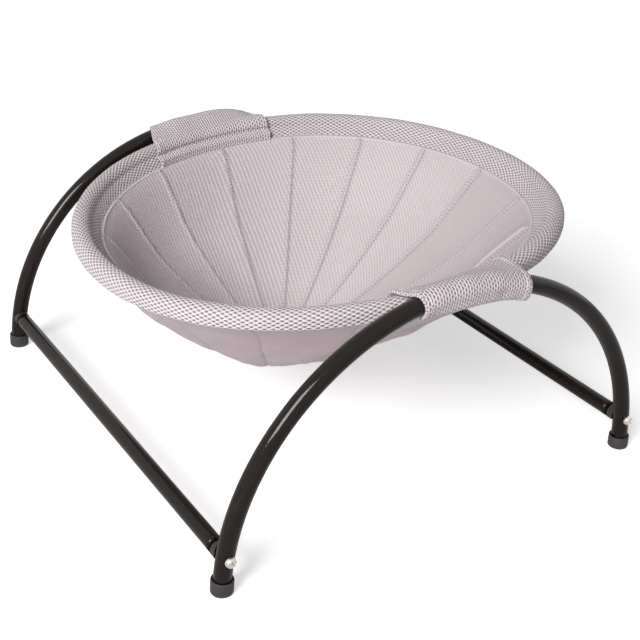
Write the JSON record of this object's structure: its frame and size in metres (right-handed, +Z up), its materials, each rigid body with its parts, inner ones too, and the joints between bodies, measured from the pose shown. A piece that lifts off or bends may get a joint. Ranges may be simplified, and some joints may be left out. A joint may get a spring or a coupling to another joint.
{
  "type": "cat hammock",
  "caption": "Raised round cat hammock: a padded mesh bowl hung on a tubular hoop, wrapped onto arched tube legs that are joined by screwed-in side rails and stand on rubber caps.",
  "frame": {"origin": "centre of the footprint at floor level: the bottom centre of the whole object's box, to within 4 mm, on the frame's own planes of symmetry", "axes": "+Z up; +Y from the front arch to the rear arch; +X to the right, along the arches' span, as seen from the front"},
  "size_m": [0.4764, 0.4986, 0.2374],
  "materials": {
    "black_paint": "glossy black powder coat",
    "grey_rubber": "matte",
    "nickel": "bright nickel plate",
    "grey_plastic": "matte",
    "steel": "plain turned steel",
    "air_mesh": "open spacer mesh",
    "liner_mesh": "fine mesh over thin padding",
    "smooth_cloth": "smooth woven cloth",
    "hook_tape": "hook fastening tape",
    "loop_tape": "loop fastening tape"
  },
  "bodies": {
    "frame": {"left_stretcher": "black_paint", "right_stretcher": "black_paint", "front_arch": "black_paint", "rear_arch": "black_paint", "foot_cap_front_left": "grey_rubber", "saddle_front_left": "grey_plastic", "end_plug_front_left": "steel", "frame_screw_front_left": "nickel", "foot_cap_front_right": "grey_rubber", "saddle_front_right": "grey_plastic", "end_plug_front_right": "steel", "frame_screw_front_right": "nickel", "foot_cap_rear_left": "grey_rubber", "saddle_rear_left": "grey_plastic", "end_plug_rear_left": "steel", "frame_screw_rear_left": "nickel", "foot_cap_rear_right": "grey_rubber", "saddle_rear_right": "grey_plastic", "end_plug_rear_right": "steel", "frame_screw_rear_right": "nickel"},
    "hammock": {"hoop_tube_rear": "black_paint", "hoop_tube_left": "black_paint", "hoop_tube_front": "black_paint", "hoop_tube_right": "black_paint", "mesh_band": "air_mesh", "outer_shell": "smooth_cloth", "inner_liner": "liner_mesh", "front_wrap": "air_mesh", "rear_wrap": "air_mesh", "front_loop_tape": "loop_tape", "rear_loop_tape": "loop_tape", "front_hook_tape": "hook_tape", "rear_hook_tape": "hook_tape"}
  },
  "joints": [
    {"name": "hammock_rock", "type": "hinge", "parent": "frame", "child": "hammock", "pos_m": [0.0048, 0, 0.2333], "axis": [0, 1, 0], "range_deg": [-1, 6]}
  ]
}
